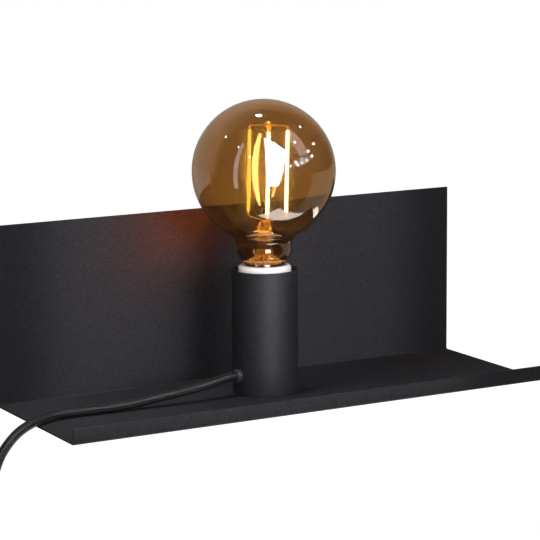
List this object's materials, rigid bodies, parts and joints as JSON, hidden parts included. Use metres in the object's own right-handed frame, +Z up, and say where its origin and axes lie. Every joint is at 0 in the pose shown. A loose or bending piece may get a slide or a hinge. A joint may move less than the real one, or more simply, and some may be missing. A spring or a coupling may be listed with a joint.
{
  "type": "wall lamp with shelf",
  "caption": "Folded steel wall shelf carrying an upright tube lampholder with a globe filament lamp, hung on a wall bracket, with a corded switch and plug.",
  "frame": {"origin": "midway between the two wall screws, on the wall plane", "axes": "+Z up, +Y into the wall, +X to the right as seen from the room"},
  "size_m": [0.4247, 0.125, 0.452],
  "materials": {
    "black_powder": "fine-grained matt black powder coat",
    "zinc_steel": "zinc plated",
    "pad_rubber": "matt",
    "porcelain": "white glazed porcelain",
    "brass": "bright",
    "amber_glass": "clear amber, smooth",
    "stem_glass": "clear",
    "filament": "yellow phosphor coat, lit",
    "warm_wire": "bright wire",
    "nickel": "nickel plated",
    "black_plastic": "satin",
    "board_green": "satin",
    "textile_cord": "black braided textile",
    "brown_wire": "satin",
    "blue_wire": "satin",
    "strap_rubber": "matt"
  },
  "bodies": {
    "wall_bracket": {"wall_bracket": "zinc_steel"},
    "lamp": {"shelf_plate": "black_powder", "hanger_rail": "zinc_steel", "wall_pads": "pad_rubber", "socket_tube": "black_powder", "base_disc": "zinc_steel", "threaded_nipple": "zinc_steel", "nipple_nuts": "zinc_steel", "toothed_washer": "zinc_steel", "holder_crossbar": "zinc_steel", "holder_screws": "zinc_steel", "holder_body": "porcelain", "screw_shell": "brass", "centre_contact": "brass", "terminal_blocks": "brass", "terminal_screws": "zinc_steel", "cord_bush": "black_plastic", "bush_lock_ring": "black_plastic", "sheath_tail": "textile_cord", "live_wire": "brown_wire", "neutral_wire": "blue_wire", "cord_run": "textile_cord", "switch_base": "black_plastic", "switch_cover": "black_plastic", "switch_contacts": "brass", "switch_screws": "zinc_steel", "cord_link": "textile_cord", "cord_coil": "textile_cord", "cord_tie": "strap_rubber", "cord_tail": "textile_cord", "plug_body": "black_plastic", "plug_pins": "nickel", "pin_sleeves": "black_plastic"},
    "bulb": {"bulb_glass": "amber_glass", "bulb_stem": "stem_glass", "bulb_filament_1": "filament", "bulb_filament_2": "filament", "bulb_filament_3": "filament", "bulb_filament_4": "filament", "upper_wires": "warm_wire", "lower_wires": "warm_wire", "lead_wires": "warm_wire", "bulb_cap": "nickel", "cap_insulator": "black_plastic", "cap_contact": "nickel", "bulb_driver": "board_green"},
    "switch_rocker": {"switch_rocker": "black_plastic"}
  },
  "joints": [
    {"name": "lamp_lift_off", "type": "slide", "parent": "wall_bracket", "child": "lamp", "axis": [0, 0, 1], "range_m": [0, 0.009]},
    {"name": "bulb_unscrew", "type": "slide", "parent": "lamp", "child": "bulb", "axis": [0, 0, 1], "range_m": [0, 0.027]},
    {"name": "rocker_tip", "type": "hinge", "parent": "lamp", "child": "switch_rocker", "pos_m": [-0.215, -0.0915, -0.1835], "axis": [1, 0, 0], "range_deg": [-16.6, 0]}
  ]
}
